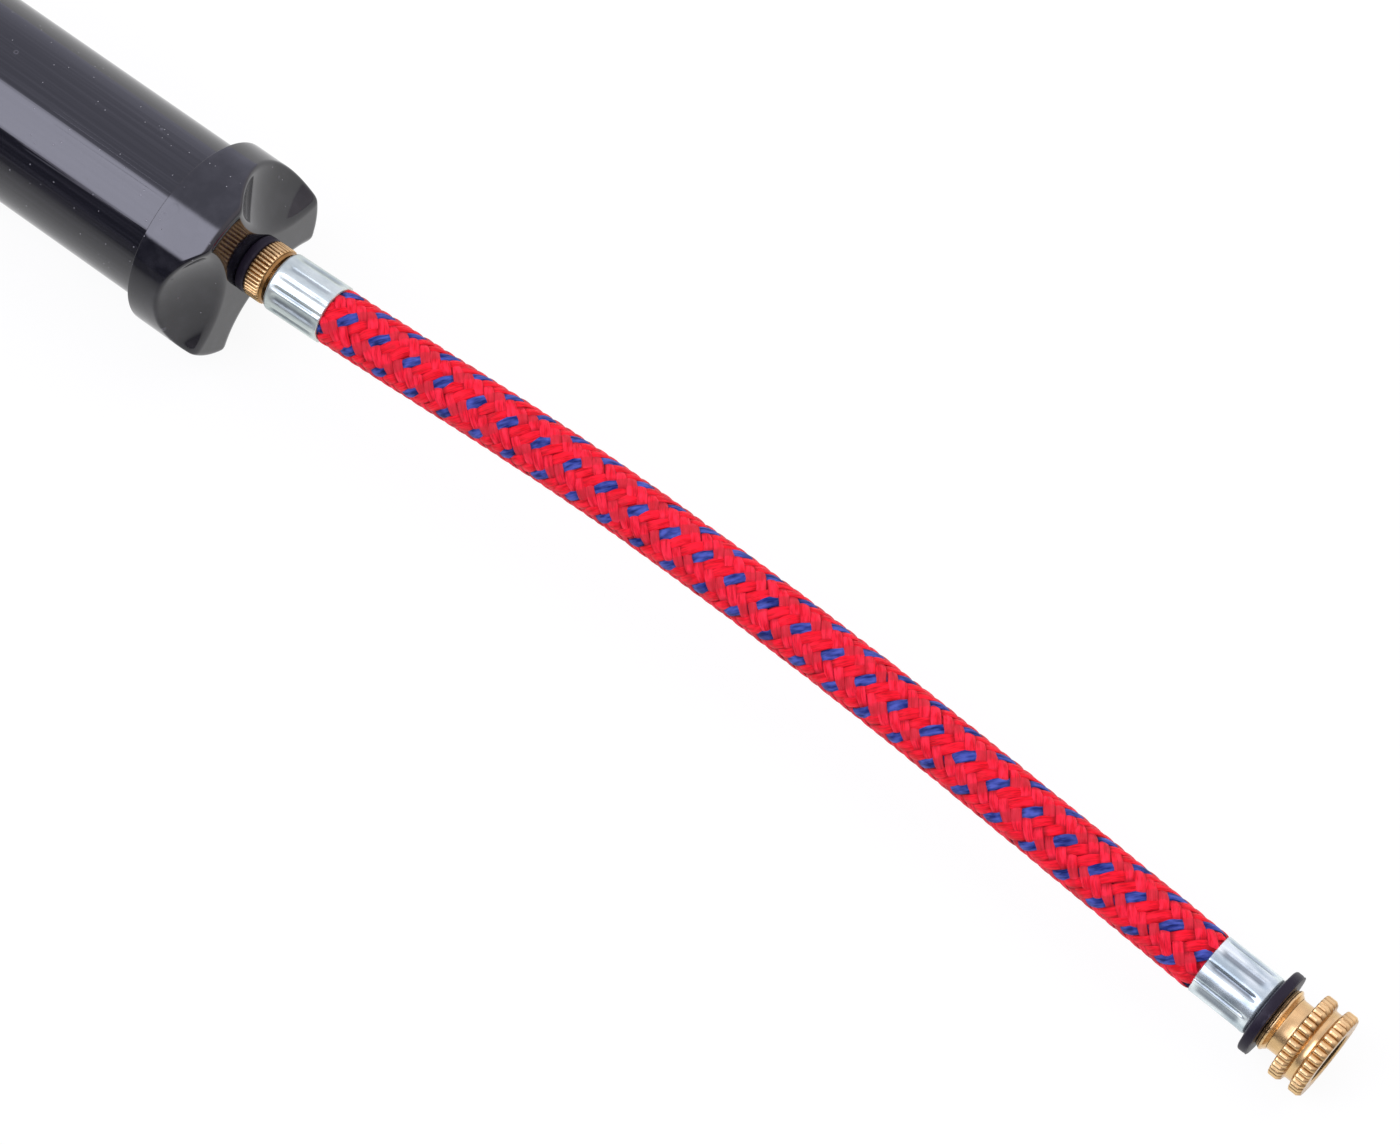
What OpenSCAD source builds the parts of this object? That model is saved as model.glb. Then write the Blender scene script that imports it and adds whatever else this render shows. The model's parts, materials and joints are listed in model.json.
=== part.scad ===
// Bicycle hand pump with a screwed-in, braided flexible hose, lying on a flat surface.
// Units are millimetres, +Z is up. The pump's axis runs along +X, towards the hose.
// The handle is pushed in. Every piece is a node of its own.

/* [Barrel] */
// Outer diameter of the barrel
barrel_od = 25; // [24:0.5:26]
// Wall thickness of the barrel
barrel_wall = 1.4; // [1.2:0.1:1.8]
// Length of the pump body, from the handle's end to the outlet cap's face
body_len = 320; // [300:5:340]

/* [Outlet cap] */
// Outer diameter of the two caps
cap_od = 29; // [28:0.5:31]
// Length of the outlet cap
cap_len = 9.7; // [9.4:0.1:11.4]
// Depth of each scoop in the cap's face
scoop_depth = 5.1; // [4:0.1:5.4]
// Distance of a scoop's centre from the axis
scoop_centre = 19.2; // [18.6:0.1:19.6]
// Angle of the first scoop around the axis
scoop_turn = 16; // [0:1:119]

/* [Handle] */
// Length of the handle's grip
grip_len = 62; // [56:1:66]
// Largest radius of the grip
grip_r = 13.9; // [13:0.1:14.2]
// Number of flutes round the grip
flutes = 12; // [8:1:16]

/* [Rod and piston] */
// Diameter of the piston rod
rod_d = 6; // [5.6:0.1:6.4]
// Width of the rod's nuts across their flats
nut_af = 10; // [9:0.5:11]

/* [Hose] */
// Outer diameter of the braided hose
hose_od = 8.6; // [8.2:0.1:8.8]
// Bore of the hose
hose_bore = 4.4; // [4:0.1:4.6]
// Outer diameter of the crimped ferrules
ferrule_od = 8.9; // [8.6:0.1:9.4]
// Angle by which the hose's tail leans sideways from the pump's axis
tail_lean = 2.5; // [0:0.5:5]

/* [Valve nut] */
// Diameter of the nut's knurled discs
disc_od = 12.8; // [12.4:0.1:12.9]
// Diameter of the valve thread
valve_thread_d = 7.7; // [7.2:0.1:8]
// Number of knurls round the discs
disc_knurls = 34; // [20:1:36]

/* [Hidden] */
$fn = 96;
slip = 0.06;         // radial clearance of a running fit
seat = 0.02;         // radial clearance of a piece that stays put
axis_z = cap_od / 2; // the pump lies on its two caps
front = body_len / 2;
rear = -body_len / 2;

barrel_r = barrel_od / 2;
barrel_bore_r = barrel_r - barrel_wall;
cap_r = cap_od / 2;
rod_r = rod_d / 2;

// Outlet cap, from its back edge to its face
cap_back = front - cap_len;
cap_wall = 5.6;
cap_floor = front - cap_wall;
cap_edge = 0.3;
rim_round = 0.8;
boss_r = 5.8;        // the scoops end this far from the axis
gasket_t = 1;
barrel_front = cap_floor - gasket_t;
stem_r = 3;

// Guide cap at the handle's end of the barrel
grip_gap = 3;
end_cap_t = 3;
grip_back = rear + end_cap_t;
grip_front = grip_back + grip_len;
guide_back = grip_front + grip_gap;
guide_len = 17;
guide_front = guide_back + guide_len;
guide_floor = guide_back + 9;
bush_r = 5;
wiper_t = 1.6;
bush_flange_t = 2;
stop_t = 3;

// Piston, from its collar to the end of the rod
piston_back = 124.5;
collar_t = 1.5;
guide_disc_t = 8;
cup_back = piston_back + collar_t + guide_disc_t;
cup_base_t = 2;
cup_len = 11;
retainer_t = 1.2;
nut_t = 4.7;
piston_nut_back = cup_back + cup_base_t + retainer_t;
rod_front = piston_nut_back + nut_t + 2;

// Handle's fixings on the rod
recess_r = 8.2;
recess_t = 3.2;
pocket_t = 9;
play = 0.1;
washer_t = 1.1;
bumper_out = 2;
grip_bore_back = grip_back + pocket_t;
grip_bore_front = grip_front - recess_t;
handle_nut_front = grip_bore_back - play - washer_t;
rod_back = handle_nut_front - nut_t - 1.1;

// Hose: the stem in the outlet cap, then its tail, which leans by tail_lean
stem_shift = [0, 0.95, 0.65]; // the stem's hole is a little off the cap's middle
washer_seat_t = 1.5;
stem_flange_r = 4.35;
stem_flange_t = 2.5;
stem_bevel_t = 0.65;
stem_knurls = 42;
stem_bore_r = 1.2;
tail_gap = 0.35;
tail_socket = 2;
tail_droop = 2;
tail_base = [front + washer_seat_t + stem_flange_t + stem_bevel_t + tail_gap, 0, axis_z] + stem_shift;
ferrule_len = 9.2;
ferrule_wall = 0.5;
ferrule_r = ferrule_od / 2;
crimp_grooves = 8;
barb_root_r = 1.9;
barb_crest_r = 2.35;
barb_gap = 1.2;
barb_pitch = 1.5;
barbs = 4;

// Far end of the hose, which droops until the nut's front edge lies on the surface
end_yaw = -0.3;
end_droop = 7.5;
disc_r = disc_od / 2;
end_washer_t = 1.88;
end_washer_rim_t = 1.4;
end_washer_r = 6.4;
end_collar_r = 4.8;
end_collar_t = 1.38;
shank_r = 2.5;
nut_start = 12.55;
nut_neck_r = 4;
nut_neck_t = 2;
neck_fillet = 0.4;
disc_t = 1.9;
disc_edge = 0.3;
groove_t = 1.4;
groove_r = 5.4;
nut_len = nut_neck_t + 2 * disc_t + groove_t;
knurl_depth = 0.35;
head_r = 3.3;
head_t = 0.9;
seal_t = 1.2;
seat_bore_r = 3.5;
thread_len = 2.4;
mouth_chamfer = 0.4;

// Centre line of the hose between its ferrules
route = [
    [174.2, 1.35, 14.8], [175.2, 1.4, 14.77], [184, 1.9, 14.5], [194, 2.5, 14.2], [204, 3.1, 13.9],
    [214, 3.55, 13.6], [224, 3.8, 13.3], [234, 3.8, 13], [244, 3.7, 12.7], [254, 3.45, 12.4],
    [264, 3.1, 12.1], [274, 2.6, 11.8], [284, 2, 11.5], [294, 1.4, 11.1], [304, 0.8, 10.6],
    [314, 0.3, 9.9], [323.8, -0.15, 9], [324.8, -0.2, 8.9]
];
route_end = [324.8, -0.2, 8.9] + [front - 160, 0, 0];
tube_sides = 12;
squeezed_r = ferrule_r - ferrule_wall;
liner_r = 2.95;

// ---------- shapes that several pieces share ----------

// Points of an arc in a profile
function arc(centre, r, from, to, steps = 8) =
    [for (i = [0:steps]) let (a = from + (to - from) * i / steps) centre + r * [cos(a), sin(a)]];

// Revolves a profile of [radius, position along X] about the pump's axis
module turned(profile) {
    translate([0, 0, axis_z]) rotate([0, 90, 0]) rotate_extrude() polygon(profile);
}

// Straight cylinder on the pump's axis, between two places along X
module round_bar(from, to, r) {
    translate([from, 0, axis_z]) rotate([0, 90, 0]) cylinder(r = r, h = to - from);
}

// Ring on the pump's axis
module ring(from, to, outer_r, inner_r) {
    difference() {
        round_bar(from, to, outer_r);
        round_bar(from - 1, to + 1, inner_r);
    }
}

// Places a piece that is drawn along +Z on the leaning tail of the hose
module on_tail() {
    translate(tail_base) rotate([0, 90 + tail_droop, tail_lean]) children();
}

// Places a piece that is drawn along +Z at the far end of the hose
module on_end() {
    translate(route_end) rotate([0, 90 + end_droop, end_yaw]) children();
}

// Outline of a knurled disc with straight, blunt knurls
module knurled(r, depth, count) {
    polygon([
        for (i = [0:count - 1], side = [[0, 0], [0.2, 1], [0.55, 1], [0.75, 0]])
            let (a = 360 * (i + side[0]) / count, rr = r - depth * (1 - side[1]))
            rr * [cos(a), sin(a)]
    ]);
}

// Hexagon nut on the pump's axis
module hex_nut(from, to) {
    difference() {
        translate([from, 0, axis_z]) rotate([0, 90, 0])
            cylinder(d = nut_af / cos(30), h = to - from, $fn = 6);
        round_bar(from - 1, to + 1, rod_r + seat);
    }
}

// Brass tail with its barbs, drawn along +Z from its plain shank
module barbed_tail(shank_len) {
    cylinder(r = shank_r, h = shank_len);
    cylinder(r = barb_root_r, h = shank_len + barb_gap + barbs * barb_pitch);
    for (i = [0:barbs - 1])
        translate([0, 0, shank_len + barb_gap + i * barb_pitch])
            rotate_extrude()
                polygon([[0, 0], [barb_crest_r, 0], [barb_crest_r, 0.3], [barb_root_r, 1.2], [0, 1.2]]);
}

// Crimped ferrule, drawn along +Z from its base, which has a hole for the shank
module ferrule(length) {
    difference() {
        rotate_extrude()
            polygon(concat(
                [[shank_r + seat, 0]],
                arc([ferrule_r - 0.5, 0.5], 0.5, -90, 0),
                [[ferrule_r, length], [squeezed_r, length], [squeezed_r, ferrule_wall],
                 [shank_r + seat, ferrule_wall]]
            ));
        for (i = [0:crimp_grooves - 1])
            rotate([0, 0, 360 * (i + 0.5) / crimp_grooves])
                translate([ferrule_r + 0.75, 0, 1.8]) cylinder(r = 0.9, h = length);
    }
}

// Three scoops in a cap's end face, drawn along +Z with the face at z = 0
module scoops() {
    reach = scoop_centre - boss_r;
    ball_r = (reach * reach + scoop_depth * scoop_depth) / (2 * scoop_depth);
    for (i = [0:2])
        rotate([0, 0, scoop_turn + 120 * i])
            translate([scoop_centre, 0, ball_r - scoop_depth]) sphere(r = ball_r);
}

// ---------- swept tube of the hose ----------

function unit(v) = v / norm(v);
function direction(path, i) = unit(path[min(i + 1, len(path) - 1)] - path[max(i - 1, 0)]);
function circle_at(centre, dir, r) =
    let (side = unit(cross([0, 0, 1], dir)), up = cross(dir, side))
    [for (k = [0:tube_sides - 1])
        let (a = 360 * k / tube_sides) centre + r * (cos(a) * side + sin(a) * up)];

// Tube wall along a path, with an outer radius for each point and one inner radius
module swept_tube(path, outer, inner) {
    last = len(path) - 1;
    n = tube_sides;
    outside = [for (i = [0:last]) each circle_at(path[i], direction(path, i), outer[i])];
    inside = [for (i = [0:last]) each circle_at(path[i], direction(path, i), inner)];
    shift = len(outside);
    walls = [
        for (i = [0:last - 1], k = [0:n - 1])
            let (a = i * n + k, b = i * n + (k + 1) % n, c = b + n, d = a + n)
            each [[a, d, c], [a, c, b], [a + shift, b + shift, c + shift],
                  [a + shift, c + shift, d + shift]]
    ];
    ends = [
        for (k = [0:n - 1])
            let (a = k, b = (k + 1) % n, c = last * n + k, d = last * n + (k + 1) % n)
            each [[a, b, b + shift], [a, b + shift, a + shift],
                  [c, c + shift, d + shift], [c, d + shift, d]]
    ];
    polyhedron(points = concat(outside, inside), faces = concat(walls, ends));
}

function heading(yaw, droop) = [cos(droop) * cos(yaw), cos(droop) * sin(yaw), -sin(droop)];
tube_path = concat(
    [tail_base + (ferrule_wall + 0.2) * heading(tail_lean, tail_droop)],
    [for (p = route) p + [front - 160, 0, 0]],
    [route_end + (ferrule_len - ferrule_wall - 0.2) * heading(end_yaw, end_droop)]
);

// Hose radius at each point: squeezed in the ferrules, a little fuller towards the far end
function braid_r(i) =
    i <= 1 || i >= len(tube_path) - 2 ? squeezed_r
    : hose_od / 2 + 0.1 * (2 * i / (len(tube_path) - 1) - 1);

// ---------- barrel and caps ----------

module barrel() {
    color("#1b1c1f") ring(guide_floor, barrel_front, barrel_r, barrel_bore_r);
}

module outlet_cap() {
    color("#202126") difference() {
        turned(concat(
            [[0, cap_back]],
            arc([cap_r - cap_edge, cap_back + cap_edge], cap_edge, -90, 0),
            arc([cap_r - rim_round, front - rim_round], rim_round, 0, 90),
            [[0, front]]
        ));
        round_bar(cap_back - 1, cap_floor, barrel_r + seat);
        translate(stem_shift) round_bar(cap_back, front + 1, stem_r + seat);
        translate([front, 0, axis_z]) rotate([0, 90, 0]) scoops();
    }
}

module cap_gasket() {
    color("#2c2a2e") ring(barrel_front, cap_floor, barrel_r - 0.1, barrel_bore_r - 1.5);
}

module guide_cap() {
    color("#202126") difference() {
        turned(concat(
            [[0, guide_back]],
            arc([cap_r - rim_round, guide_back + rim_round], rim_round, -90, 0),
            arc([cap_r - cap_edge, guide_front - cap_edge], cap_edge, 0, 90),
            [[0, guide_front]]
        ));
        round_bar(guide_floor, guide_front + 1, barrel_r + seat);
        round_bar(guide_back - 1, guide_front, bush_r + seat);
        translate([guide_back, 0, axis_z]) rotate([0, -90, 0]) scoops();
    }
}

module guide_bush() {
    color("#d8d4c4") difference() {
        union() {
            round_bar(guide_back + wiper_t + 0.2, guide_floor, bush_r);
            round_bar(guide_floor, guide_floor + bush_flange_t, bush_r + 2.5);
        }
        round_bar(guide_back, guide_floor + 5, rod_r + slip);
    }
}

module rod_wiper() {
    color("#8c8577") ring(guide_back + 0.2, guide_back + 0.2 + wiper_t, bush_r, rod_r + slip);
}

module stop_ring() {
    stop_back = guide_floor + bush_flange_t;
    color("#2c2a2e") ring(stop_back, stop_back + stop_t, bush_r + 2.5, rod_r + 0.6);
}

// ---------- hose ----------

module hose_stem() {
    flange_back = front + washer_seat_t;
    flange_front = flange_back + stem_flange_t;
    color("#c9a64a") difference() {
        translate(stem_shift) {
            round_bar(cap_floor - 0.6, flange_back + 0.5, stem_r);
            translate([flange_back, 0, axis_z]) rotate([0, 90, 0])
                linear_extrude(stem_flange_t) knurled(stem_flange_r, 0.25, stem_knurls);
            turned([
                [0, flange_front - 0.1], [stem_flange_r - 0.15, flange_front - 0.1],
                [stem_flange_r - 0.15, flange_front + 0.2],
                [stem_flange_r - 0.5, flange_front + stem_bevel_t], [0, flange_front + stem_bevel_t]
            ]);
        }
        translate(stem_shift) round_bar(cap_floor - 2, flange_front + 2, stem_bore_r);
        on_tail() translate([0, 0, -tail_socket]) cylinder(r = shank_r + seat, h = 5);
    }
}

module hose_tail() {
    color("#c9a64a") on_tail() translate([0, 0, -tail_socket]) difference() {
        barbed_tail(tail_socket + ferrule_wall + 0.1);
        translate([0, 0, -1]) cylinder(r = stem_bore_r, h = 20);
    }
}

module stem_washer() {
    color("#25232a") translate(stem_shift) difference() {
        turned(concat(
            [[0, front]],
            arc([4.4, front + 0.3], 0.3, -90, 0, 4),
            arc([4.4, front + washer_seat_t - 0.3], 0.3, 0, 90, 4),
            [[0, front + washer_seat_t]]
        ));
        round_bar(front - 1, front + 3, stem_r + seat);
    }
}

module pump_ferrule() {
    color("#c8cdd6") on_tail() ferrule(ferrule_len);
}

module hose_liner() {
    color("#303035") swept_tube(tube_path, [for (p = tube_path) liner_r], hose_bore / 2);
}

module hose_braid() {
    color("#cf2138")
        swept_tube(tube_path, [for (i = [0:len(tube_path) - 1]) braid_r(i)], liner_r);
}

module valve_ferrule() {
    color("#c8cdd6") on_end() translate([0, 0, ferrule_len]) mirror([0, 0, 1])
        ferrule(ferrule_len);
}

module valve_washer() {
    color("#25232a") on_end() translate([0, 0, ferrule_len + 0.02]) rotate_extrude() polygon([
        [shank_r + seat, 0], [4.5, 0], [end_washer_r - 0.1, end_washer_t - end_washer_rim_t],
        [end_washer_r - 0.1, end_washer_t - 0.3], [end_washer_r, end_washer_t], [shank_r + seat, end_washer_t]
    ]);
}

module nipple_collar() {
    color("#c9a64a") on_end() translate([0, 0, nut_start - 0.05 - end_collar_t]) rotate_extrude()
        polygon(concat(
            [[shank_r + seat, 0], [end_collar_r - 0.3, 0]],
            arc([end_collar_r - 0.3, 0.6], 0.3, -60, 60, 4),
            [[nut_neck_r + 0.2, end_collar_t], [shank_r + seat, end_collar_t]]
        ));
}

module valve_nipple() {
    head_back = nut_start + nut_neck_t + 0.05;
    color("#c9a64a") on_end() difference() {
        union() {
            translate([0, 0, ferrule_len]) mirror([0, 0, 1]) barbed_tail(ferrule_wall + 0.1);
            translate([0, 0, ferrule_len]) cylinder(r = shank_r, h = head_back - ferrule_len);
            translate([0, 0, head_back]) cylinder(r = head_r, h = head_t);
        }
        cylinder(r = stem_bore_r, h = 30);
    }
}

// ---------- rod, piston and handle ----------

module piston_rod() {
    color("#c4c8ce") turned([
        [0, rod_back], [rod_r - 0.5, rod_back], [rod_r, rod_back + 0.5],
        [rod_r, rod_front - 0.5], [rod_r - 0.5, rod_front], [0, rod_front]
    ]);
}

module rod_collar() {
    color("#b4b8be") ring(piston_back, piston_back + collar_t, 5, rod_r + seat);
}

module piston_guide() {
    disc_back = piston_back + collar_t;
    disc_r_out = barrel_bore_r - 0.2;
    color("#e6e2d6") difference() {
        round_bar(disc_back, cup_back, disc_r_out);
        round_bar(disc_back - 1, cup_back + 1, rod_r + seat);
        ring(disc_back + 2.5, cup_back - 2.5, disc_r_out + 1, disc_r_out - 1.6);
    }
}

module cup_washer() {
    lip_r = barrel_bore_r - 0.08;
    cup_front = cup_back + cup_len;
    color("#6e4a2e") turned([
        [rod_r + seat, cup_back], [lip_r - 1.4, cup_back], [lip_r - 0.5, cup_back + 1.2],
        [lip_r, cup_front - 2], [lip_r, cup_front - 0.4], [lip_r - 0.9, cup_front],
        [lip_r - 2, cup_back + 3.2], [lip_r - 2.6, cup_back + cup_base_t],
        [rod_r + seat, cup_back + cup_base_t]
    ]);
}

module cup_retainer() {
    from = cup_back + cup_base_t;
    color("#b4b8be") ring(from, from + retainer_t, 7.8, rod_r + seat);
}

module rod_nuts() {
    color("#b4b8be") {
        hex_nut(piston_nut_back, piston_nut_back + nut_t);
        hex_nut(handle_nut_front - nut_t, handle_nut_front);
    }
}

module thrust_washer() {
    from = grip_bore_front + play;
    color("#b4b8be") ring(from, from + washer_t, 6.5, rod_r + seat);
}

module bumper_ring() {
    from = grip_bore_front + play + washer_t;
    color("#2c2a2e") ring(from, grip_front + bumper_out, 7.5, rod_r + seat);
}

module end_washer() {
    color("#b4b8be") ring(handle_nut_front, handle_nut_front + washer_t, 6.5, rod_r + seat);
}

module handle_grip() {
    flute_r = 1.7;
    color("#1b1c1f") difference() {
        turned(concat(
            [[0, grip_back], [grip_r - 0.3, grip_back], [grip_r, grip_back + 0.8],
             [grip_r, grip_back + 4], [grip_r - 1.3, grip_back + 9],
             [grip_r - 1.7, grip_back + 18], [grip_r - 1.9, grip_front - 16],
             [grip_r - 2.3, grip_front - 9], [grip_r - 0.6, grip_front - 4]],
            arc([grip_r - 1.6, grip_front - 1], 1, 0, 90, 4),
            [[0, grip_front]]
        ));
        round_bar(grip_back - 1, grip_bore_back, recess_r);
        round_bar(grip_bore_front, grip_front + 1, recess_r);
        round_bar(grip_back, grip_front, rod_r + slip);
        for (i = [0:flutes - 1])
            translate([0, 0, axis_z]) rotate([360 * i / flutes, 0, 0])
                translate([grip_back + 12, 0, grip_r - 1.2 + flute_r * 0.4])
                    rotate([0, 90, 0]) cylinder(r = flute_r, h = grip_len - 25);
    }
}

module handle_end_cap() {
    dome_r = 42;
    edge_r = grip_r - 0.3;
    plug_t = 5.5;
    plug_wall = 1.3;
    color("#202126") turned(concat(
        arc([0, rear + dome_r], dome_r, -90, asin(edge_r / dome_r) - 90),
        [[edge_r, grip_back], [recess_r - seat, grip_back], [recess_r - seat, grip_back + plug_t],
         [recess_r - plug_wall, grip_back + plug_t], [recess_r - plug_wall, grip_back - 0.2],
         [0, grip_back - 0.2]]
    ));
}

// ---------- valve nut, which turns on the end of the hose ----------

module knurled_disc() {
    clear = 0.3;
    intersection() {
        linear_extrude(disc_t) knurled(disc_r, knurl_depth, disc_knurls);
        rotate_extrude() polygon([
            [0, 0], [disc_r - disc_edge, 0], [disc_r + clear, disc_edge + clear],
            [disc_r + clear, disc_t - disc_edge - clear], [disc_r - disc_edge, disc_t], [0, disc_t]
        ]);
    }
}

module valve_nut() {
    disc_1 = nut_neck_t;
    disc_2 = nut_neck_t + disc_t + groove_t;
    seat_end = nut_len - mouth_chamfer - thread_len;
    color("#c9a64a") on_end() translate([0, 0, nut_start]) difference() {
        union() {
            rotate_extrude() polygon(concat(
                [[0, 0], [nut_neck_r + 0.2, 0], [nut_neck_r, 0.3]],
                arc([nut_neck_r + neck_fillet, disc_1 - neck_fillet], neck_fillet, 180, 90, 4),
                [[0, disc_1]]
            ));
            translate([0, 0, disc_1]) knurled_disc();
            translate([0, 0, disc_1 + 0.5]) cylinder(r = groove_r, h = disc_2 - disc_1);
            translate([0, 0, disc_2]) knurled_disc();
        }
        translate([0, 0, -1]) cylinder(r = shank_r + slip, h = nut_len);
        translate([0, 0, nut_neck_t]) cylinder(r = seat_bore_r, h = nut_len);
        translate([0, 0, seat_end]) cylinder(r = valve_thread_d / 2, h = nut_len);
        translate([0, 0, nut_len - mouth_chamfer])
            cylinder(r1 = valve_thread_d / 2, r2 = valve_thread_d / 2 + 0.6, h = 0.6);
    }
}

module valve_seal() {
    seal_back = nut_start + nut_neck_t + 0.05 + head_t + 0.05;
    color("#2c2a2e") on_end() translate([0, 0, seal_back]) difference() {
        cylinder(r = seat_bore_r - seat, h = seal_t);
        translate([0, 0, -1]) cylinder(r = 1.5, h = 5);
    }
}

barrel();
outlet_cap();
cap_gasket();
guide_cap();
guide_bush();
rod_wiper();
stop_ring();
hose_stem();
hose_tail();
stem_washer();
pump_ferrule();
hose_liner();
hose_braid();
valve_ferrule();
valve_washer();
nipple_collar();
valve_nipple();
piston_rod();
rod_collar();
piston_guide();
cup_washer();
cup_retainer();
rod_nuts();
thrust_washer();
bumper_ring();
end_washer();
handle_grip();
handle_end_cap();
valve_nut();
valve_seal();
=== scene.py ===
"""A bicycle hand pump with a braided hose, dressed over its CAD frame. Lengths are in metres."""

import json
import math

import bpy
import numpy as np
from mathutils import Matrix, Vector


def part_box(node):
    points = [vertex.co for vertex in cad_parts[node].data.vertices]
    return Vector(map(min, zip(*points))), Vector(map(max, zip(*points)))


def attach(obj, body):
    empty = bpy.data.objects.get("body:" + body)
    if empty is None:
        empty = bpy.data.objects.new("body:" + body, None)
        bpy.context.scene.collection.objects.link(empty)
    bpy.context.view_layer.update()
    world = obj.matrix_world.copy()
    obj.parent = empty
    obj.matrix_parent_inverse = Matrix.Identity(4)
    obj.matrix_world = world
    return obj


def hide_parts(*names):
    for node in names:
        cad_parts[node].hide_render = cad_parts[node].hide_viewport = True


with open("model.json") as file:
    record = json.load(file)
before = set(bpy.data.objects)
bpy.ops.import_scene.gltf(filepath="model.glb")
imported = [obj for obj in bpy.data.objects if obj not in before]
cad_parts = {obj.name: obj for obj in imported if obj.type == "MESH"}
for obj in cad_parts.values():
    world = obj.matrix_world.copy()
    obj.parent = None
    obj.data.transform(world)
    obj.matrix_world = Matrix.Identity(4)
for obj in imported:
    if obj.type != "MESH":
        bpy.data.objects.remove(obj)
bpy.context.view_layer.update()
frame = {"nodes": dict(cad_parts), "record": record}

MM = 0.001
SEED = 7

# ---------- places and sizes, from the frame ----------

CAP_LOW, CAP_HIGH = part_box("outlet_cap")
GUIDE_LOW, GUIDE_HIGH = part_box("guide_cap")
BARREL_LOW, BARREL_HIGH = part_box("barrel")
GRIP_LOW, GRIP_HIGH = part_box("handle_grip")
END_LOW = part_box("handle_end_cap")[0]
ROD_LOW, ROD_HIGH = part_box("piston_rod")
BUMPER_LOW, BUMPER_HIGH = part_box("bumper_ring")
WASHER_LOW, WASHER_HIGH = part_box("stem_washer")

AXIS_Z = (CAP_LOW.z + CAP_HIGH.z) / 2
CAP_R = (CAP_HIGH.y - CAP_LOW.y) / 2
BARREL_R = (BARREL_HIGH.y - BARREL_LOW.y) / 2
GRIP_R = (GRIP_HIGH.y - GRIP_LOW.y) / 2
ROD_R = (ROD_HIGH.y - ROD_LOW.y) / 2

# The hose's route is the one that the frame follows
STEM_SHIFT = Vector((0, 0.95 * MM, 0.65 * MM))
TAIL_LEAN, TAIL_DROOP = math.radians(2.5), math.radians(2)
END_YAW, END_DROOP = math.radians(-0.3), math.radians(7.5)
ROUTE = [
    (0.1742, 0.00135, 0.0148), (0.1752, 0.0014, 0.01477), (0.184, 0.0019, 0.0145),
    (0.194, 0.0025, 0.0142), (0.204, 0.0031, 0.0139), (0.214, 0.00355, 0.0136),
    (0.224, 0.0038, 0.0133), (0.234, 0.0038, 0.013), (0.244, 0.0037, 0.0127),
    (0.254, 0.00345, 0.0124), (0.264, 0.0031, 0.0121), (0.274, 0.0026, 0.0118),
    (0.284, 0.002, 0.0115), (0.294, 0.0014, 0.0111), (0.304, 0.0008, 0.0106),
    (0.314, 0.0003, 0.0099), (0.3238, -0.00015, 0.009), (0.3248, -0.0002, 0.0089),
]

# Sizes that the frame's boxes don't give
BARREL_WALL = 1.4 * MM
STEM_HOLE_R = 3.02 * MM
ROD_HOLE_R = 5.02 * MM
FERRULE_R = 4.45 * MM
FERRULE_LEN = 9.2 * MM
FERRULE_WALL = 0.5 * MM
SHANK_R = 2.52 * MM


# ---------- meshes ----------


def mesh_object(name, points, faces, uvs=None, smooth_angle=40, **values):
    """A mesh object from points and faces. Each further value is kept as a point attribute."""
    mesh = bpy.data.meshes.new(name)
    mesh.from_pydata([tuple(p) for p in points], [], faces)
    if uvs is not None:
        layer = mesh.uv_layers.new(name="along")
        loops = np.zeros(len(mesh.loops), np.int32)
        mesh.loops.foreach_get("vertex_index", loops)
        layer.data.foreach_set("uv", np.asarray(uvs, np.float32)[loops].ravel())
    for key, numbers in values.items():
        layer = mesh.attributes.new(key, "FLOAT", "POINT")
        layer.data.foreach_set("value", np.asarray(numbers, np.float32).ravel())
    mesh.shade_smooth()
    mesh.set_sharp_from_angle(angle=math.radians(smooth_angle))
    mesh.update()
    made = bpy.data.objects.new(name, mesh)
    bpy.context.scene.collection.objects.link(made)
    return made


def grid_faces(rings, count):
    """Quads between rings of points, each ring closed on itself."""
    return [
        (
            i * count + j,
            i * count + (j + 1) % count,
            (i + 1) * count + (j + 1) % count,
            (i + 1) * count + j,
        )
        for i in range(rings - 1)
        for j in range(count)
    ]


def along_x(origin, yaw=0.0, droop=0.0):
    """The matrix that puts a piece drawn along +X at a place, turned by a yaw and a droop."""
    turn = Matrix.Rotation(yaw, 4, "Z") @ Matrix.Rotation(droop, 4, "Y")
    return Matrix.Translation(origin) @ turn


STEM_PLACE = along_x(Vector((0, 0, AXIS_Z)) + STEM_SHIFT)
END_PLACE = along_x(ROUTE[-1], END_YAW, END_DROOP)


def placed(points, place):
    """The points of an array, moved by a matrix."""
    m = np.array(place)
    return points @ m[:3, :3].T + m[:3, 3]


def lathe(name, profile, place, segments=160, shape=None, smooth_angle=40, stain=None):
    """Turns a profile of (position along X, radius) about X.

    shape changes places and radii by angle. stain gives how tarnished each point is.
    """
    profile = np.array(profile, float)
    angle = np.linspace(0, 2 * math.pi, segments, endpoint=False)
    x = np.repeat(profile[:, 0:1], segments, 1)
    r = np.repeat(profile[:, 1:2], segments, 1)
    if shape:
        x, r = shape(x, r, np.repeat(angle[None, :], len(profile), 0))
    points = np.stack([x, r * np.cos(angle), r * np.sin(angle)], -1).reshape(-1, 3)
    faces = grid_faces(len(profile), segments)
    values = {"stained": stain(x, r)} if stain else {}
    return mesh_object(name, placed(points, place), faces, None, smooth_angle, **values)


def arc(centre, radius, start, end, steps=6):
    """Points of a round corner in a profile, with the angles in degrees from +X."""
    turns = [math.radians(start + (end - start) * i / steps) for i in range(steps + 1)]
    return [(centre[0] + radius * math.cos(a), centre[1] + radius * math.sin(a)) for a in turns]


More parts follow.
